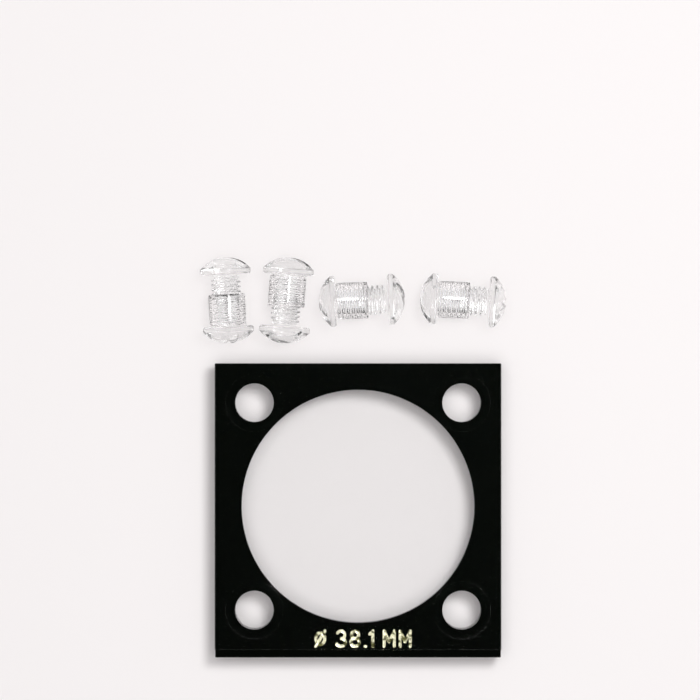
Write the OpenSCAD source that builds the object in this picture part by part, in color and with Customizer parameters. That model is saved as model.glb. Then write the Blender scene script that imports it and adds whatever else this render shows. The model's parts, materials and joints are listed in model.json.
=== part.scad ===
// Square sandwich coin holder. A black frame with a round opening holds the coin between two
// clear cover plates. Slotted screws and barrel posts of clear plastic clamp the corners. They
// come unfitted: each screw is started in its post, and the pairs lie in a row by the plates.
// Millimetres. The origin is the centre of the back cover's outer face, and +Z points to the front.

/* [Coin] */
// Diameter of the coin that the holder is made for
coin_d = 38.1; // [24:0.1:45]
// Free space between the coin's rim and the opening, all round
coin_play = 0.2; // [0.1:0.05:0.5]

/* [Plates] */
// Thickness of the black frame
frame_t = 3; // [2:0.1:5]
// Thickness of each clear cover
cover_t = 3; // [2.4:0.1:5]
// Width of the black rib between the coin opening and a corner hole
rib = 1.75; // [1:0.05:4]
// Distance from a corner hole's centre to the nearest edge of a cover
hole_margin = 6.5; // [6:0.1:12]
// How far the frame's lower edge stands out past the covers
frame_lip = 1.4; // [0.5:0.1:3]
// Width of the scraped bevel along the frame's edges
edge_bevel = 0.1; // [0.05:0.05:0.6]
// Width of the broken edge round the coin opening
hole_bevel = 0.1; // [0.05:0.05:0.5]
// Air between plates that are stacked and not yet clamped
plate_gap = 0.08; // [0.05:0.01:0.2]
// Cover thickness left under a screw or post head
seat_t = 1.2; // [0.8:0.1:1.6]

/* [Screws and posts] */
// Outside diameter of the thread
thread_d = 4.8; // [4:0.1:6]
// Pitch of the thread
thread_pitch = 0.8; // [0.5:0.05:1.2]
// Free space between the thread and the post's bore, all round
thread_play = 0.05; // [0.02:0.01:0.1]
// Wall of the post's barrel
barrel_wall = 0.6; // [0.4:0.05:1.2]
// Free space between the barrel and a corner hole, all round
barrel_play = 0.15; // [0.1:0.05:0.4]
// How far a head's rim stands out past the barrel
head_overhang = 1.15; // [0.8:0.05:2]
// Free space between a head's rim and its counterbore, all round
head_play = 0.55; // [0.2:0.05:0.8]
// Height of a head's straight rim
rim_h = 0.9; // [0.5:0.1:1.5]
// Bevel under a head's rim
rim_bevel = 0.2; // [0.1:0.05:0.3]
// Height of a head's dome above its rim
dome_h = 1.9; // [1:0.1:3]
// Width of the driver slot
slot_w = 1.2; // [0.8:0.1:1.8]
// Depth of the driver slot below the crown of the dome
slot_depth = 1.3; // [0.8:0.1:1.8]
// How much shorter the barrel is than the plates it passes through
clamp_gap = 0.2; // [0.1:0.05:0.5]
// Space left under the screw's tip when the pair is closed
tip_gap = 0.4; // [0.2:0.1:1]
// Lead-in bevel on the screw's tip
tip_bevel = 0.5; // [0.2:0.1:0.8]
// Lead-in bevel at the mouth of the post's bore
mouth_bevel = 0.3; // [0.1:0.05:0.35]

/* [Row of fasteners] */
// Turns that each screw is started into its post
started_turns = 2; // [1:0.5:4]
// Clear space between the plates and the row, kept when a screw backs out
row_gap = 1.4; // [0.6:0.1:8]
// Clear space between neighbours in the row, kept when a screw backs out
pair_gap = 0.5; // [0.4:0.1:4]

/* [Hidden] */
$fn = 96;

// Colours
clear_acrylic = [0.90, 0.94, 0.95, 0.30];
black_acrylic = "#0a0d0a";
clear_screw = [0.88, 0.90, 0.92, 0.55];

// A cut reaches this far past the face that it opens
past = 1;

// Sizes that follow from the fits
bore_d = thread_d + 2 * thread_play;
barrel_d = bore_d + 2 * barrel_wall;
hole_d = barrel_d + 2 * barrel_play;
head_d = barrel_d + 2 * head_overhang;
counterbore_d = head_d + 2 * head_play;
opening_d = coin_d + 2 * coin_play;
hole_pitch = sqrt(2) * (opening_d / 2 + rib + hole_d / 2);
plate_w = hole_pitch + 2 * hole_margin;

// Heights of the stacked plates
frame_z = cover_t + plate_gap;
front_z = frame_z + frame_t + plate_gap;
counterbore_depth = cover_t - seat_t;

// Lengths of a screw and its post
head_h = rim_h + dome_h;
dome_r = ((head_d / 2) ^ 2 + dome_h ^ 2) / (2 * dome_h);
barrel_len = 2 * (seat_t + plate_gap) + frame_t - clamp_gap;
thread_len = barrel_len - tip_gap;
back_out = started_turns * thread_pitch;
bare_thread = thread_len - back_out;
pair_len = 2 * head_h + barrel_len + bare_thread;

// Direction of each pair from its post to its screw, and the roll of its two driver slots
pair_angles = [93, 266, 2, -3];
post_rolls = [20, 110, 35, 65];
screw_rolls = [75, 50, 140, 15];

// Lowest and highest reach of a pair from its centre along one axis, with its screw backed out.
// along is the share of the pair's length that runs along that axis, across the share of its width.
function reach(along, across) =
    let (ends = [-pair_len / 2 * along, (pair_len / 2 + back_out) * along], rim = head_d / 2 * abs(across))
    [min(ends) - rim, max(ends) + rim];
function reach_x(i) = reach(cos(pair_angles[i]), sin(pair_angles[i]));
function reach_y(i) = reach(sin(pair_angles[i]), cos(pair_angles[i]));
function row_width(i) = i < 0 ? -pair_gap : row_width(i - 1) + pair_gap + reach_x(i)[1] - reach_x(i)[0];

// Places of the pairs: the row is centred over the plates, and its pairs lie on the same surface
last = len(pair_angles) - 1;
pair_x = [
    for (i = [0:last])
        row_width(i - 1) + pair_gap - reach_x(i)[0] - row_width(last) / 2
];
row_y = plate_w / 2 + row_gap - min([for (i = [0:last]) reach_y(i)[0]]);

// Plates

// Puts the children at the centre of each corner hole
module at_corners() {
    for (x = [-1, 1], y = [-1, 1])
        translate([x * hole_pitch / 2, y * hole_pitch / 2, 0])
            children();
}

// Turned square bar that planes a bevel along one edge of the frame
module edge_plane(length) {
    rotate([45, 0, 0])
        cube([length, edge_bevel * sqrt(2), edge_bevel * sqrt(2)], center = true);
}

// Black plate with its outer edges bevelled: as wide as the covers, and taller by the lip
module frame_blank() {
    height = plate_w + frame_lip;
    translate([0, -frame_lip / 2, 0])
        difference() {
            translate([-plate_w / 2, -height / 2, 0])
                cube([plate_w, height, frame_t]);
            for (side = [-1, 1], z = [0, frame_t]) {
                translate([0, side * height / 2, z])
                    edge_plane(plate_w + 2 * past);
                translate([side * plate_w / 2, 0, z])
                    rotate(90)
                        edge_plane(height + 2 * past);
            }
            for (x = [-1, 1], y = [-1, 1])
                translate([x * plate_w / 2, y * height / 2, frame_t / 2])
                    rotate(45)
                        cube([edge_bevel * sqrt(2), edge_bevel * sqrt(2), frame_t + 2 * past], center = true);
        }
}

// Round cut through a plate of thickness t
module through_hole(d, t) {
    translate([0, 0, -past])
        cylinder(d = d, h = t + 2 * past);
}

// Broken edge of a round cut that opens upwards at z = 0
module hole_edge(d) {
    translate([0, 0, -hole_bevel])
        cylinder(d1 = d, d2 = d + 2 * (hole_bevel + past), h = hole_bevel + past);
}

// Clear cover with its outer face up: square and sharp from the saw, its corner holes counterbored
// to sink the heads
module cover() {
    difference() {
        translate([-plate_w / 2, -plate_w / 2, 0])
            cube([plate_w, plate_w, cover_t]);
        at_corners() {
            through_hole(hole_d, cover_t);
            translate([0, 0, seat_t])
                cylinder(d = counterbore_d, h = counterbore_depth + past);
        }
    }
}

module back_cover() {
    color(clear_acrylic)
        translate([0, 0, cover_t])
            rotate([180, 0, 0])
                cover();
}

module front_cover() {
    color(clear_acrylic)
        translate([0, 0, front_z])
            cover();
}

// Black frame: the coin opening and the corner holes, and a lip along the lower edge to lift the covers by
module coin_frame() {
    color(black_acrylic)
        translate([0, 0, frame_z])
            difference() {
                frame_blank();
                through_hole(opening_d, frame_t);
                translate([0, 0, frame_t])
                    hole_edge(opening_d);
                mirror([0, 0, 1])
                    hole_edge(opening_d);
                at_corners()
                    through_hole(hole_d, frame_t);
            }
}

// Screws and posts

// Domed head that rises from z = 0, with a driver slot across it
module slotted_head(roll) {
    difference() {
        intersection() {
            union() {
                cylinder(d1 = head_d - 2 * rim_bevel, d2 = head_d, h = rim_bevel);
                translate([0, 0, rim_bevel])
                    cylinder(d = head_d, h = head_h - rim_bevel);
            }
            translate([0, 0, head_h - dome_r])
                sphere(r = dome_r);
        }
        rotate(roll)
            translate([-head_d, -slot_w / 2, head_h - slot_depth])
                cube([2 * head_d, slot_w, slot_depth + past]);
    }
}

// Lays a pair down: z runs from the post to the screw, and z = 0 is under the post's head
module lay_pair(i) {
    translate([pair_x[i], row_y, head_d / 2])
        rotate(pair_angles[i])
            rotate([0, 90, 0])
                translate([0, 0, -(barrel_len + bare_thread) / 2])
                    children();
}

// Barrel post: a head at the back, and a blind bore that opens at the barrel's end
module post(i) {
    color(clear_screw)
        lay_pair(i)
            difference() {
                union() {
                    mirror([0, 0, 1])
                        slotted_head(post_rolls[i]);
                    cylinder(d = barrel_d, h = barrel_len);
                }
                cylinder(d = bore_d, h = barrel_len + past);
                translate([0, 0, barrel_len - mouth_bevel])
                    cylinder(d1 = bore_d, d2 = bore_d + 2 * (mouth_bevel + past), h = mouth_bevel + past);
            }
}

// Screw: a head at the front, and a threaded shank drawn at its outside diameter
module screw(i) {
    color(clear_screw)
        lay_pair(i)
            translate([0, 0, barrel_len + bare_thread]) {
                slotted_head(screw_rolls[i]);
                translate([0, 0, tip_bevel - thread_len])
                    cylinder(d = thread_d, h = thread_len - tip_bevel);
                translate([0, 0, -thread_len])
                    cylinder(d1 = thread_d - 2 * tip_bevel, d2 = thread_d, h = tip_bevel);
            }
}

back_cover();
coin_frame();
front_cover();
post(0);  // post_1
post(1);  // post_2
post(2);  // post_3
post(3);  // post_4
screw(0);  // screw_1
screw(1);  // screw_2
screw(2);  // screw_3
screw(3);  // screw_4
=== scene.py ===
"""A square sandwich coin holder: a black frame between clear covers, with the clear screws and posts that
clamp its corners lying beside it. Lengths are in metres, and names ending in _mm or _MM in millimetres."""

import json
import math

import bmesh
import bpy
import numpy as np
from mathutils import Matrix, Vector


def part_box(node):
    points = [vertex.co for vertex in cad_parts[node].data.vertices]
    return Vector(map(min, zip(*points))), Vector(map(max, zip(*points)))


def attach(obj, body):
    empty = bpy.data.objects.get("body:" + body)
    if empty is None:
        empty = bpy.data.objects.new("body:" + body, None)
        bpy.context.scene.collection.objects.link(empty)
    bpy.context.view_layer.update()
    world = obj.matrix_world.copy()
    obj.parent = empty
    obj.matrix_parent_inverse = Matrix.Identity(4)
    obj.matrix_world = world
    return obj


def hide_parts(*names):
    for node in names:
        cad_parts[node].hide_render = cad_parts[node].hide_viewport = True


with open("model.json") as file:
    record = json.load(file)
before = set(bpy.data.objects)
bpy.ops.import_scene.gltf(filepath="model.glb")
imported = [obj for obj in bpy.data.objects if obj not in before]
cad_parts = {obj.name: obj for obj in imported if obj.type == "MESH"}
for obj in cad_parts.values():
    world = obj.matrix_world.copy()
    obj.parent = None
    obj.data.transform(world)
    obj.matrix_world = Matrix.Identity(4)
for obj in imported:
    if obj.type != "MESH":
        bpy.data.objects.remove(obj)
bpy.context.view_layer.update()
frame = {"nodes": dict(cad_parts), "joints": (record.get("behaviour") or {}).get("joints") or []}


# Back cover. A square of clear cast acrylic sheet, sawn to size, with its edges left sharp and buffed. It is
# drilled at the corners and counterbored from behind for the heads, and the rest of the stack lies on it.

MM = 0.001
ACRYLIC_IOR = 1.49
CLEAR_TINT = "FFFFFF"
CLEAR_SHADE = "FFFFFF"
SAW_TOOTH = 0.45 * MM
SAW_DEPTH = 0.02 * MM


def linear(colour):
    """A colour written as sRGB hex, as the linear RGBA that shaders take."""
    srgb = np.array([int(colour[i:i + 2], 16) for i in (0, 2, 4)]) / 255
    rgb = np.where(srgb <= 0.04045, srgb / 12.92, ((srgb + 0.055) / 1.055) ** 2.4)
    return (*rgb.tolist(), 1.0)


def add(tree, kind, inputs=None, **settings):
    """Adds one shader node. settings are its properties, and inputs its sockets' values or links."""
    node = tree.nodes.new("ShaderNode" + kind)
    for name, value in settings.items():
        setattr(node, name, value)
    for name, value in (inputs or {}).items():
        if isinstance(value, bpy.types.NodeSocket):
            tree.links.new(value, node.inputs[name])
        else:
            node.inputs[name].default_value = value
    return node


def blank_material(name):
    """A material with an empty node tree, and that tree."""
    material = bpy.data.materials.new(name)
    material.use_nodes = True
    material.node_tree.nodes.clear()
    return material, material.node_tree


def hairlines(tree, place, length_mm, spacing_mm, width_mm, turn_deg):
    """Fine scratches from handling, 1 on a scratch: lines a spacing apart, which a slow noise bends and
    crowds, and which break off where another noise is low. They are drawn wider than real ones, to show."""
    bend_by, bend_over = 1.5, 2.5
    bare_below, scratched_above = 0.52, 0.68
    turned_place = add(tree, "Mapping", {
        "Vector": place,
        "Rotation": (0, 0, math.radians(turn_deg)),
        "Scale": (length_mm * MM, spacing_mm * MM, spacing_mm * MM),
    }, vector_type="TEXTURE")
    across = add(tree, "SeparateXYZ", {0: turned_place.outputs[0]})
    bend = add(tree, "TexNoise", {"Vector": turned_place.outputs[0], "Scale": 1 / bend_over, "Detail": 0.0},
               noise_dimensions="2D")
    bent = add(tree, "Math", {0: bend.outputs[0], 1: bend_by, 2: across.outputs["Y"]},
               operation="MULTIPLY_ADD")
    off_line = add(tree, "Math", {0: bent.outputs[0], 1: 0.5}, operation="PINGPONG")
    scratch = add(tree, "MapRange", {
        "Value": off_line.outputs[0], "From Min": 0.0, "From Max": width_mm / spacing_mm,
        "To Min": 1.0, "To Max": 0.0,
    }, interpolation_type="SMOOTHSTEP")
    patches = add(tree, "TexNoise", {"Vector": place, "Scale": 1 / (length_mm * MM), "Detail": 2.0})
    kept = add(tree, "MapRange", {
        "Value": patches.outputs[0], "From Min": bare_below, "From Max": scratched_above,
    }, interpolation_type="SMOOTHSTEP")
    return add(tree, "Math", {0: scratch.outputs[0], 1: kept.outputs[0]}, operation="MULTIPLY").outputs[0]


def sawn_edge(tree, place):
    """The sheet's sawn edge, as a mask of the upright faces and a height: tooth marks across the edge, which
    lean a little and vary in depth."""
    tilted, upright = 0.3, 0.1
    lean = 0.2
    facing = add(tree, "SeparateXYZ", {0: add(tree, "NewGeometry").outputs["Normal"]})
    level = add(tree, "Math", {0: facing.outputs["Z"]}, operation="ABSOLUTE")
    mask = add(tree, "MapRange", {"Value": level.outputs[0], "From Min": tilted, "From Max": upright})
    at = add(tree, "SeparateXYZ", {0: place})
    round_the_edge = add(tree, "Math", {0: at.outputs["X"], 1: at.outputs["Y"]}, operation="ADD")
    leaning = add(tree, "Math", {0: at.outputs["Z"], 1: lean, 2: round_the_edge.outputs[0]},
                  operation="MULTIPLY_ADD")
    marks = add(tree, "TexNoise", {"W": leaning.outputs[0], "Scale": 1 / SAW_TOOTH, "Detail": 3.0},
                noise_dimensions="1D")
    height = add(tree, "Math", {0: marks.outputs[0], 1: mask.outputs[0]}, operation="MULTIPLY")
    return mask.outputs[0], height.outputs[0]


def lit_through(tree, body, shade):
    """Ends a clear material. The eye sees the body bend light, while lamplight, and light that a matt surface
    gathers, pass straight through it, dimmed by shade."""
    rays = add(tree, "LightPath")
    straight = add(tree, "BsdfTransparent", {"Color": linear(shade)})
    gathered = add(tree, "MixShader", {0: rays.outputs["Is Diffuse Ray"], 1: body, 2: straight.outputs[0]})
    mix = add(tree, "MixShader", {
        0: rays.outputs["Is Shadow Ray"], 1: gathered.outputs[0], 2: straight.outputs[0],
    })
    add(tree, "OutputMaterial", {"Surface": mix.outputs[0]})


def clear_acrylic_sheet():
    """Clear cast acrylic: glass-clear faces with a few hairlines, and edges buffed nearly clear, with a trace
    of the saw left."""
    material, tree = blank_material("clear_cast_acrylic_sheet")
    place = add(tree, "TexCoord").outputs["Object"]
    scratch = hairlines(tree, place, length_mm=14, spacing_mm=4, width_mm=0.03, turn_deg=24)
    edge, marks = sawn_edge(tree, place)
    polished, scratched, buffed = 0.012, 0.07, 0.12
    rough = add(tree, "MapRange", {"Value": scratch, "To Min": polished, "To Max": scratched})
    rough = add(tree, "Mix", {0: edge, 2: rough.outputs[0], 3: buffed}, data_type="FLOAT")
    bump = add(tree, "Bump", {"Strength": 0.12, "Distance": SAW_DEPTH, "Height": marks})
    body = add(tree, "BsdfPrincipled", {
        "Base Color": linear(CLEAR_TINT), "IOR": ACRYLIC_IOR, "Transmission Weight": 1.0,
        "Roughness": rough.outputs[0], "Normal": bump.outputs[0],
    })
    lit_through(tree, body.outputs[0], CLEAR_SHADE)
    return material


def dress(node, material):
    """Gives a solid of the frame its finish."""
    frame["nodes"][node].data.materials.clear()
    frame["nodes"][node].data.materials.append(material)


clear_sheet = clear_acrylic_sheet()
dress("back_cover", clear_sheet)


# Coin frame. The middle plate, black cast acrylic sheet with the round coin opening and the corner holes cut
# through it. It lies loose between the covers, and its lower edge stands out past them as a lip.

BLACK = "030503"
BLACK_SAWN = "0B0E0B"


def black_acrylic_sheet():
    """Opaque black cast acrylic: a deep black with a slight green cast and a wet gloss, hairlines that show
    as grey threads, and a duller sawn edge."""
    material, tree = blank_material("black_cast_acrylic_sheet")
    place = add(tree, "TexCoord").outputs["Object"]
    scratch = hairlines(tree, place, length_mm=11, spacing_mm=3, width_mm=0.03, turn_deg=-37)
    edge, marks = sawn_edge(tree, place)
    colour = add(tree, "Mix", {0: edge, 6: linear(BLACK), 7: linear(BLACK_SAWN)}, data_type="RGBA")
    polished, scratched, sawn = 0.05, 0.16, 0.38
    rough = add(tree, "MapRange", {"Value": scratch, "To Min": polished, "To Max": scratched})
    rough = add(tree, "Mix", {0: edge, 2: rough.outputs[0], 3: sawn}, data_type="FLOAT")
    bump = add(tree, "Bump", {"Strength": 0.6, "Distance": SAW_DEPTH, "Height": marks})
    body = add(tree, "BsdfPrincipled", {
        "Base Color": colour.outputs[2], "IOR": ACRYLIC_IOR,
        "Roughness": rough.outputs[0], "Normal": bump.outputs[0],
    })
    add(tree, "OutputMaterial", {"Surface": body.outputs[0]})
    return material


dress("coin_frame", black_acrylic_sheet())


# Size marking. The coin's diameter, hot-stamped in gold foil on the lower band of the black frame: strokes of
# one width with round ends, each a shallow groove with a lip that the die raised along its sides.

LETTER_H = 3.05 * MM
STROKE_W = 0.52 * MM
FOIL_LIP = 0.055 * MM
FOIL_FLOOR = 0.006 * MM
STROKE_STEP = 0.0004 * MM
FOIL_WELD = 0.0001 * MM
LETTER_GAP = 0.62 * MM
WORD_GAP = 1.65 * MM
MARKING_CENTRE = Vector((0.95 * MM, -21.85 * MM))
LINE_STEPS = 12
ARC_STEPS = 48
CAP_STEPS = 7
STEPS_ACROSS = 16
FOIL_GOLD = "F5F2D2"
FOIL_WORN = "66653A"


def line(start, end):
    """A straight stroke between two points, in letter heights."""
    return np.linspace(start, end, LINE_STEPS + 1)


def arc(centre, radii, start_deg, end_deg):
    """A stroke along an ellipse, in letter heights, from one angle to another."""
    angle = np.radians(np.linspace(start_deg, end_deg, ARC_STEPS + 1))
    return np.stack([centre[0] + radii[0] * np.cos(angle), centre[1] + radii[1] * np.sin(angle)], axis=1)


# Each sign is its width in letter heights and its strokes.
SIGNS = {
    "diameter": (0.66, [arc((0.33, 0.5), (0.29, 0.38), 0, 360), line((0.04, 0.0), (0.62, 1.0))]),
    "3": (0.52, [arc((0.23, 0.74), (0.25, 0.26), 150, -80), arc((0.23, 0.26), (0.29, 0.26), 80, -155)]),
    "8": (0.56, [arc((0.28, 0.745), (0.23, 0.245), -90, 270), arc((0.28, 0.26), (0.28, 0.26), 90, 450)]),
    "point": (0.06, [line((0.02, 0.0), (0.04, 0.0))]),
    "1": (0.24, [line((0.0, 0.8), (0.2, 1.0)), line((0.2, 1.0), (0.2, 0.0))]),
    "M": (0.66, [line((0.0, 0.0), (0.0, 1.0)), line((0.0, 1.0), (0.33, 0.3)),
                 line((0.33, 0.3), (0.66, 1.0)), line((0.66, 1.0), (0.66, 0.0))]),
}
MARKING = [["diameter"], ["3", "8", "point", "1"], ["M", "M"]]


def quads(rows, columns, first, round_columns=False):
    """Corner numbers of the quads of a grid whose points are numbered row by row from first."""
    row = np.arange(rows - 1)[:, None]
    column = np.arange(columns if round_columns else columns - 1)[None, :]
    after = (column + 1) % columns
    corners = [row * columns + column, row * columns + after,
               (row + 1) * columns + after, (row + 1) * columns + column]
    return np.stack(np.broadcast_arrays(*corners), axis=-1).reshape(-1, 4) + first


def foil_stroke(path):
    """A stroke of foil as a closed grid: rows along the path, columns across it. Past each open end the
    half-width shrinks as a half circle. The height goes from the sheet up to a lip and down to the groove's
    floor, and sinks to the sheet with the width."""
    way = np.gradient(path, axis=0)
    half = np.full(len(path), STROKE_W / 2)
    is_loop = np.allclose(path[0], path[-1])
    if is_loop:
        way[[0, -1]] = path[1] - path[-2]
    way = way / np.linalg.norm(way, axis=1)[:, None]
    if not is_loop:
        angle = np.radians(np.linspace(90, 0, CAP_STEPS + 1))[:-1]
        past = STROKE_W / 2 * np.sin(angle)
        cap_half = STROKE_W / 2 * np.cos(angle)
        head = path[0] - np.outer(past, way[0])
        tail = path[-1] + np.outer(past[::-1], way[-1])
        path = np.concatenate([head, path, tail])
        way = np.concatenate([np.repeat(way[:1], len(past), 0), way, np.repeat(way[-1:], len(past), 0)])
        half = np.concatenate([cap_half, half, cap_half[::-1]])
    across = np.linspace(-1, 1, STEPS_ACROSS + 1)
    floor_ends, lip_starts, lip_ends, edge = 0.125, 0.75, 0.875, 1
    section = np.interp(np.abs(across), [floor_ends, lip_starts, lip_ends, edge],
                        [FOIL_FLOOR, FOIL_LIP, FOIL_LIP, 0])
    rise = section * (half / half.max())[:, None]
    side = np.stack([-way[:, 1], way[:, 0]], axis=1)
    flat = path[:, None] + side[:, None] * (half[:, None] * across)[..., None]
    return np.concatenate([flat, rise[..., None]], axis=2)


def gold_stamping_foil():
    """Gold hot-stamping foil: a thin bright metal with a satin grain from the die, worn darker in specks."""
    material, tree = blank_material("gold_hot_stamping_foil")
    place = add(tree, "TexCoord").outputs["Object"]
    grain_mm, grain_depth_mm, worn_mm = 0.12, 0.02, 0.9
    whole_below, worn_above = 0.46, 0.6
    grain = add(tree, "TexNoise", {"Vector": place, "Scale": 1 / (grain_mm * MM), "Detail": 2.0})
    worn = add(tree, "TexNoise", {"Vector": place, "Scale": 1 / (worn_mm * MM), "Detail": 3.0})
    specks = add(tree, "MapRange", {
        "Value": worn.outputs[0], "From Min": whole_below, "From Max": worn_above,
    })
    colour = add(tree, "Mix", {0: specks.outputs[0], 6: linear(FOIL_GOLD), 7: linear(FOIL_WORN)},
                 data_type="RGBA")
    bright, satin = 0.15, 0.32
    rough = add(tree, "MapRange", {"Value": grain.outputs[0], "To Min": bright, "To Max": satin})
    bump = add(tree, "Bump", {"Strength": 0.35, "Distance": grain_depth_mm * MM, "Height": grain.outputs[0]})
    body = add(tree, "BsdfPrincipled", {
        "Base Color": colour.outputs[2], "Metallic": 0.75, "Roughness": rough.outputs[0],
        "Normal": bump.outputs[0],
    })
    add(tree, "OutputMaterial", {"Surface": body.outputs[0]})
    return material


def mesh_piece(name, grids, material, crease_deg, weld=0.0):
    """One piece from grids of points, each with whether its columns go round: quads between neighbours,
    points nearer than weld made one and faces turned outwards."""
    points, faces, count = [], [], 0
    for grid, goes_round in grids:
        faces.append(quads(*grid.shape[:2], count, goes_round))
        points.append(grid.reshape(-1, 3))
        count += grid.shape[0] * grid.shape[1]
    mesh = bpy.data.meshes.new(name)
    mesh.from_pydata(np.concatenate(points).tolist(), [], np.concatenate(faces).tolist())
    if weld:
        shell = bmesh.new()
        shell.from_mesh(mesh)
        bmesh.ops.remove_doubles(shell, verts=shell.verts, dist=weld)
        bmesh.ops.dissolve_degenerate(shell, edges=shell.edges, dist=weld)
        bmesh.ops.recalc_face_normals(shell, faces=shell.faces)
        shell.to_mesh(mesh)
        shell.free()
    mesh.shade_smooth()
    mesh.set_sharp_from_angle(angle=math.radians(crease_deg))
    mesh.materials.append(material)
    piece = bpy.data.objects.new(name, mesh)
    bpy.context.scene.collection.objects.link(piece)
    return piece


frame_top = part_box("coin_frame")[1].z
word_widths = [sum(SIGNS[s][0] * LETTER_H for s in word) + LETTER_GAP * (len(word) - 1) for word in MARKING]
pen = Vector((-(sum(word_widths) + WORD_GAP * (len(MARKING) - 1)) / 2, -LETTER_H / 2)) + MARKING_CENTRE
strokes = []
for word in MARKING:
    for sign in word:
        width, paths = SIGNS[sign]
        for path in paths:
            grid = foil_stroke(path * (LETTER_H - STROKE_W) + np.array(pen) + (0, STROKE_W / 2))
            # Strokes that cross lie a hair above each other.
            grid[..., 2] += frame_top + STROKE_STEP * len(strokes)
            strokes.append((grid, True))
        pen.x += width * LETTER_H + LETTER_GAP
    pen.x += WORD_GAP - LETTER_GAP

marking = mesh_piece("size_marking", strokes, gold_stamping_foil(), crease_deg=60, weld=FOIL_WELD)
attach(marking, "coin_frame")


# Front cover. The same clear sheet as the back cover, with its counterbores in front. It keeps the coin in
# and lifts off once the screws are out.

dress("front_cover", clear_sheet)


# Posts. Barrel nuts moulded in clear acrylic: a domed head with a driver slot, and a barrel with a threaded
# blind bore. Four of them lie on the table, each with its screw started in it.

RIM_H = 0.9 * MM
RIM_BEVEL = 0.2 * MM
DOME_H = 1.9 * MM
SLOT_W = 1.2 * MM
SLOT_DEPTH = 1.3 * MM
SLOT_EDGE = 0.14 * MM
BARREL_R = 3.05 * MM
BARREL_FILLET = 0.25 * MM
FILLET_MIDDLE = BARREL_FILLET * 0.3
BARREL_EDGE = 0.12 * MM
THREAD_PITCH = 0.8 * MM
THREAD_R = 2.4 * MM
THREAD_ROOT_R = 1.98 * MM
THREAD_PLAY = 0.05 * MM
THREAD_RUN_OUT = 0.5 * MM
THREAD_STEEPNESS = 0.85
MOUTH_BEVEL = 0.3 * MM
MOULDED_WELD = 0.0005 * MM
MOULDED_CREASE_DEG = 35
CROWN_ROWS = 61
CROWN_COLUMNS = 49
SLOT_WALL_ROWS = 9
SLOT_FLOOR_ROWS = 7
RINGS_PER_TURN = 16
POST_ROLLS_DEG = (20, 110, 35, 65)
MOULDED_TINT = "FFFFFF"
MOULDED_SHADE = "F8F8F8"


def moulded_clear_acrylic():
    """Clear acrylic moulded in a plain die: clear and soft in its gleam, with faint flow ripples that wobble
    what shows through it. Most lamplight passes, so its shadow is pale."""
    material, tree = blank_material("moulded_clear_acrylic")
    place = add(tree, "TexCoord").outputs["Object"]
    ripple_mm, ripple_depth_mm = 1.6, 0.05
    low, high = 0.3, 0.7
    polished, dull = 0.075, 0.15
    ripple = add(tree, "TexNoise", {"Vector": place, "Scale": 1 / (ripple_mm * MM), "Detail": 1.0})
    bump = add(tree, "Bump", {
        "Strength": 0.1, "Distance": ripple_depth_mm * MM, "Height": ripple.outputs[0],
    })
    rough = add(tree, "MapRange", {
        "Value": ripple.outputs[0], "From Min": low, "From Max": high, "To Min": polished, "To Max": dull,
    })
    body = add(tree, "BsdfPrincipled", {
        "Base Color": linear(MOULDED_TINT), "IOR": ACRYLIC_IOR, "Transmission Weight": 1.0,
        "Roughness": rough.outputs[0], "Normal": bump.outputs[0],
    })
    lit_through(tree, body.outputs[0], MOULDED_SHADE)
    return material


def smooth(value):
    """Rises from 0 to 1 as value does, with level ends."""
    value = np.clip(value, 0, 1)
    return value * value * (3 - 2 * value)


def slotted_crown(radius):
    """Top of a head as a grid of rows across the driver slot, each a chord of the rim circle. The height
    above the head's underside is a sphere through rim and crown, sunk to a flat floor between the slot's
    walls."""
    half = SLOT_W / 2
    rim = radius * np.sin(np.radians(np.linspace(-90, 90, CROWN_ROWS)))
    wall = half + SLOT_EDGE * np.linspace(-0.5, 0.5, SLOT_WALL_ROWS)
    floor = np.linspace(SLOT_EDGE - half, half - SLOT_EDGE, SLOT_FLOOR_ROWS)
    rows = np.concatenate([rim[np.abs(rim) > half + SLOT_EDGE], wall, -wall, floor])
    y = np.sort(rows)[:, None]
    spread = np.sin(np.radians(np.linspace(-90, 90, CROWN_COLUMNS)))
    x = np.sqrt(np.maximum(radius ** 2 - y ** 2, 0)) * spread
    ball = (radius ** 2 + DOME_H ** 2) / (2 * DOME_H)
    dome = RIM_H + DOME_H - ball + np.sqrt(ball ** 2 - x ** 2 - y ** 2)
    sunk = smooth((half + SLOT_EDGE / 2 - np.abs(y)) / SLOT_EDGE)
    height = dome - sunk * np.maximum(dome - (RIM_H + DOME_H - SLOT_DEPTH), 0)
    return np.stack(np.broadcast_arrays(x, y, height), axis=-1)


def rim_angles(crown):
    """Angles round the axis of the points on a crown's rim, in order, so that a turned wall can meet them."""
    edge = np.concatenate([crown[:, -1], crown[-2:0:-1, 0]])
    return np.arctan2(edge[:, 1], edge[:, 0])


def turned(radius, height, angles):
    """A lathe surface as a grid: the profile's radius and height, one row each, carried round at the angles.
    The radius may also change with the angle."""
    radius, height, angles = np.broadcast_arrays(radius, height, angles[None, :])
    return np.stack([radius * np.cos(angles), radius * np.sin(angles), height], axis=-1)


def thread_ridge(along, angles):
    """Height of a right-hand thread's ridge, 0 at its root and 1 at its crest: a cosine of the place within
    the pitch, cut flat at root and crest."""
    place = along / THREAD_PITCH - angles / (2 * math.pi)
    return np.clip(0.5 + THREAD_STEEPNESS * np.cos(2 * math.pi * place), 0, 1)


def column(*values):
    """A profile's values as one column."""
    return np.array(values)[:, None]


def pair_line(number):
    """A point on the axis that a screw and its post share, and that axis, from the post to the screw."""
    joint = joints[f"post_{number}_turn"]
    return np.array(joint["pos_m"]), np.array(joint["axis"])


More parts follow.
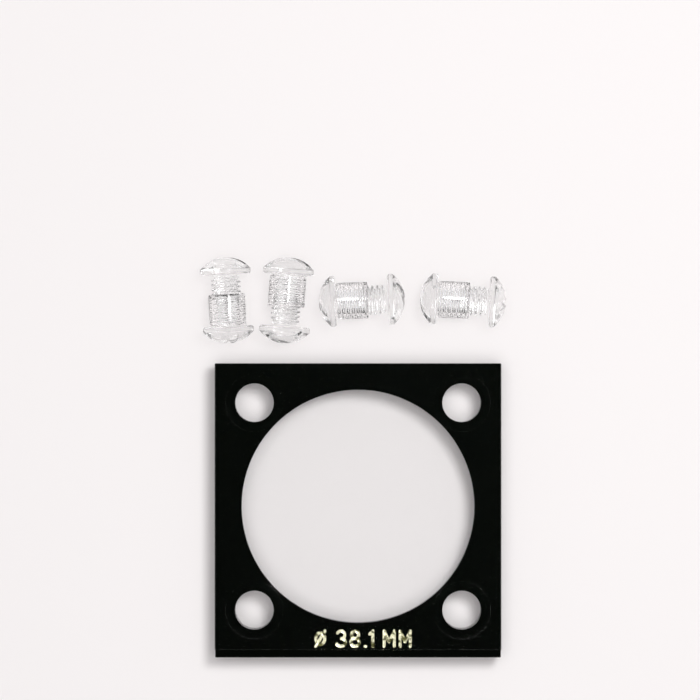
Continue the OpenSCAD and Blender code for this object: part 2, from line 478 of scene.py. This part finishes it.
def reach(node, point, axis):
    """Where a solid begins and ends along an axis through point, and how far it stands out from that axis."""
    mesh = frame["nodes"][node].data
    corners = np.empty(len(mesh.vertices) * 3, np.float32)
    mesh.vertices.foreach_get("co", corners)
    corners = corners.reshape(-1, 3) - point
    along = corners @ axis
    out = np.linalg.norm(corners - np.outer(along, axis), axis=1)
    return along.min(), along.max(), out.max()


def laid(grid, roll, point, axis):
    """Lays a grid made round the z axis along a pair's axis. A roll of 0 puts x straight down."""
    down = np.array((0.0, 0.0, -1.0))
    sideways = np.cross(axis, down)
    turn = np.array([[math.cos(roll), math.sin(roll)], [-math.sin(roll), math.cos(roll)]])
    flat = grid[..., :2] @ turn
    return point + flat[..., :1] * down + flat[..., 1:] * sideways + grid[..., 2:] * axis


def mould(node, grids, roll, point, axis):
    """Makes a fastener of grids round the z axis, laid along its pair's axis, in place of its plain solid."""
    laid_grids = [(laid(grid, roll, point, axis), goes_round) for grid, goes_round in grids]
    piece = mesh_piece(f"{node}_moulded", laid_grids, moulded, MOULDED_CREASE_DEG, MOULDED_WELD)
    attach(piece, node)
    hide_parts(node)


joints = {joint["name"]: joint for joint in frame["joints"]}
moulded = moulded_clear_acrylic()
for number, roll_deg in enumerate(POST_ROLLS_DEG, 1):
    node = f"post_{number}"
    point, axis = pair_line(number)
    crown_end, mouth, head_r = reach(node, point, axis)
    under = crown_end + RIM_H + DOME_H
    roll = math.radians(roll_deg)
    crown = slotted_crown(head_r)
    angles = rim_angles(crown)
    crown[..., 2] = under - crown[..., 2]
    outside = turned(
        column(head_r, head_r, head_r - RIM_BEVEL, BARREL_R + BARREL_FILLET, BARREL_R + FILLET_MIDDLE,
               BARREL_R, BARREL_R, BARREL_R - BARREL_EDGE),
        column(under - RIM_H, under - RIM_BEVEL, under, under, under + FILLET_MIDDLE,
               under + BARREL_FILLET, mouth - BARREL_EDGE, mouth), angles)
    rings = round((mouth - under) / THREAD_PITCH * RINGS_PER_TURN)
    along = np.linspace(mouth, under, rings)[:, None]
    ridge = thread_ridge(along, angles + roll) * smooth((along - under) / THREAD_RUN_OUT)
    groove = THREAD_ROOT_R + THREAD_PLAY + (THREAD_R - THREAD_ROOT_R) * ridge
    funnel = THREAD_R + THREAD_PLAY + MOUTH_BEVEL - (mouth - along)
    bore = turned(np.maximum(groove, funnel), along, angles)
    bottom = turned(column(1.0, 0.0) * bore[-1, :, :2].max(), column(under, under), angles)
    bottom[0] = bore[-1]
    annulus = np.stack([outside[-1], bore[0]])
    grids = [(crown, False), (outside, True), (annulus, True), (bore, True), (bottom, True)]
    mould(node, grids, roll, point, axis)


# Screws. Moulded in the same clear acrylic, with a head like the post's and a right-hand thread that starts
# under the head and fades out at a bevelled tip.

TIP_BEVEL = 0.5 * MM
NECK = 0.35 * MM
SCREW_ROLLS_DEG = (75, 50, 140, 15)

for number, roll_deg in enumerate(SCREW_ROLLS_DEG, 1):
    node = f"screw_{number}"
    point, axis = pair_line(number)
    tip, crown_end, head_r = reach(node, point, axis)
    under = crown_end - RIM_H - DOME_H
    roll = math.radians(roll_deg)
    crown = slotted_crown(head_r)
    angles = rim_angles(crown)
    crown[..., 2] += under
    head = turned(column(head_r, head_r, head_r - RIM_BEVEL, THREAD_ROOT_R + NECK),
                  column(under + RIM_H, under + RIM_BEVEL, under, under), angles)
    rings = round((under - tip) / THREAD_PITCH * RINGS_PER_TURN)
    along = np.linspace(under, tip, rings)[:, None]
    ridge = thread_ridge(along, angles + roll)
    ridge = ridge * smooth((under - along - NECK) / THREAD_RUN_OUT) * smooth((along - tip) / THREAD_RUN_OUT)
    neck = NECK * (1 - smooth((under - along) / NECK))
    shank = THREAD_ROOT_R + np.maximum((THREAD_R - THREAD_ROOT_R) * ridge, neck)
    tip_cone = THREAD_R - TIP_BEVEL + (along - tip)
    shank = turned(np.minimum(shank, tip_cone), along, angles)
    end = turned(column(THREAD_R - TIP_BEVEL, 0.0), column(tip, tip), angles)
    grids = [(crown, False), (head, True), (shank, True), (end, True)]
    mould(node, grids, roll, point, axis)


# Table, light and camera. A pale card under a soft lamp from the upper right and a pale sky, seen from
# straight above with a long lens.

CARD = "F6F3F3"
FLOOR_SIZE = 6.0
FLOOR_DROP = 0.05 * MM

card, tree = blank_material("pale_card")
surface = add(tree, "BsdfPrincipled", {
    "Base Color": linear(CARD), "Roughness": 0.9, "Specular IOR Level": 0.1,
})
add(tree, "OutputMaterial", {"Surface": surface.outputs[0]})
edges = FLOOR_SIZE / 2 * np.array([-1.0, 1.0])
sheet = np.stack(np.broadcast_arrays(edges[None, :], edges[:, None], -FLOOR_DROP), axis=-1)
floor = mesh_piece("table", [(sheet, False)], card, crease_deg=30)

KEY_AWAY = Vector((0.24, 0.24, 0.94)).normalized()
KEY_DISTANCE = 0.55
KEY_SIZE = 0.16
KEY_POWER = 1.17

lamp = bpy.data.lights.new("key", "AREA")
lamp.shape = "DISK"
lamp.size = KEY_SIZE
lamp.energy = KEY_POWER
key = bpy.data.objects.new("key", lamp)
key.location = KEY_AWAY * KEY_DISTANCE
key.rotation_euler = KEY_AWAY.to_track_quat("Z", "Y").to_euler()
bpy.context.scene.collection.objects.link(key)

# The sky that eye and gloss meet is pale with a dark round above the lens, which keeps black gloss black.
# Matt surfaces are lit by a softbox overhead instead. Both rounds are given by the rise of their edges.
SKY = "F2F1F1"
DARK_ABOVE = "060707"
DARK_STARTS, DARK_FULL = 0.90, 0.966
SOFTBOX = "F0EEEE"
SOFTBOX_STARTS, SOFTBOX_FULL = 0.86, 0.98
LOW_LIGHT, OVERHEAD_LIGHT = 0.17, 4.1

world = bpy.data.worlds.new("studio")
world.use_nodes = True
tree = world.node_tree
tree.nodes.clear()
up = add(tree, "SeparateXYZ", {0: add(tree, "TexCoord").outputs["Generated"]})
dark_top = add(tree, "MapRange", {
    "Value": up.outputs["Z"], "From Min": DARK_STARTS, "From Max": DARK_FULL,
}, interpolation_type="SMOOTHSTEP")
pale = add(tree, "Mix", {0: dark_top.outputs[0], 6: linear(SKY), 7: linear(DARK_ABOVE)}, data_type="RGBA")
rays = add(tree, "LightPath")
seen = add(tree, "Math", {0: rays.outputs["Is Camera Ray"], 1: rays.outputs["Is Glossy Ray"]},
           operation="MAXIMUM")
seen = add(tree, "Math", {0: seen.outputs[0], 1: rays.outputs["Is Transmission Ray"]}, operation="MAXIMUM")
softbox = add(tree, "MapRange", {
    "Value": up.outputs["Z"], "From Min": SOFTBOX_STARTS, "From Max": SOFTBOX_FULL,
    "To Min": LOW_LIGHT, "To Max": OVERHEAD_LIGHT,
}, interpolation_type="SMOOTHSTEP")
colour = add(tree, "Mix", {0: seen.outputs[0], 6: linear(SOFTBOX), 7: pale.outputs[2]}, data_type="RGBA")
strength = add(tree, "Mix", {0: seen.outputs[0], 2: softbox.outputs[0], 3: 1.0}, data_type="FLOAT")
sky = add(tree, "Background", {"Color": colour.outputs[2], "Strength": strength.outputs[0]})
add(tree, "OutputWorld", {"Surface": sky.outputs[0]})
bpy.context.scene.world = world

FRAME_PX = 700
PX_PER_MM = 6.05
PLATE_AT_PX = (358.0, 506.2)
LENS_MM = 300
SENSOR_MM = 36

aim_x = (FRAME_PX / 2 - PLATE_AT_PX[0]) / PX_PER_MM * MM
aim_y = (PLATE_AT_PX[1] - FRAME_PX / 2) / PX_PER_MM * MM
distance = FRAME_PX / PX_PER_MM * MM * LENS_MM / SENSOR_MM
camera = bpy.data.objects.new("camera", bpy.data.cameras.new("camera"))
camera.data.lens = LENS_MM
camera.data.sensor_width = SENSOR_MM
camera.data.clip_start = 0.01
camera.location = (aim_x, aim_y, frame_top + distance)
bpy.context.scene.collection.objects.link(camera)
bpy.context.scene.camera = camera
bpy.context.scene.view_settings.view_transform = "Standard"
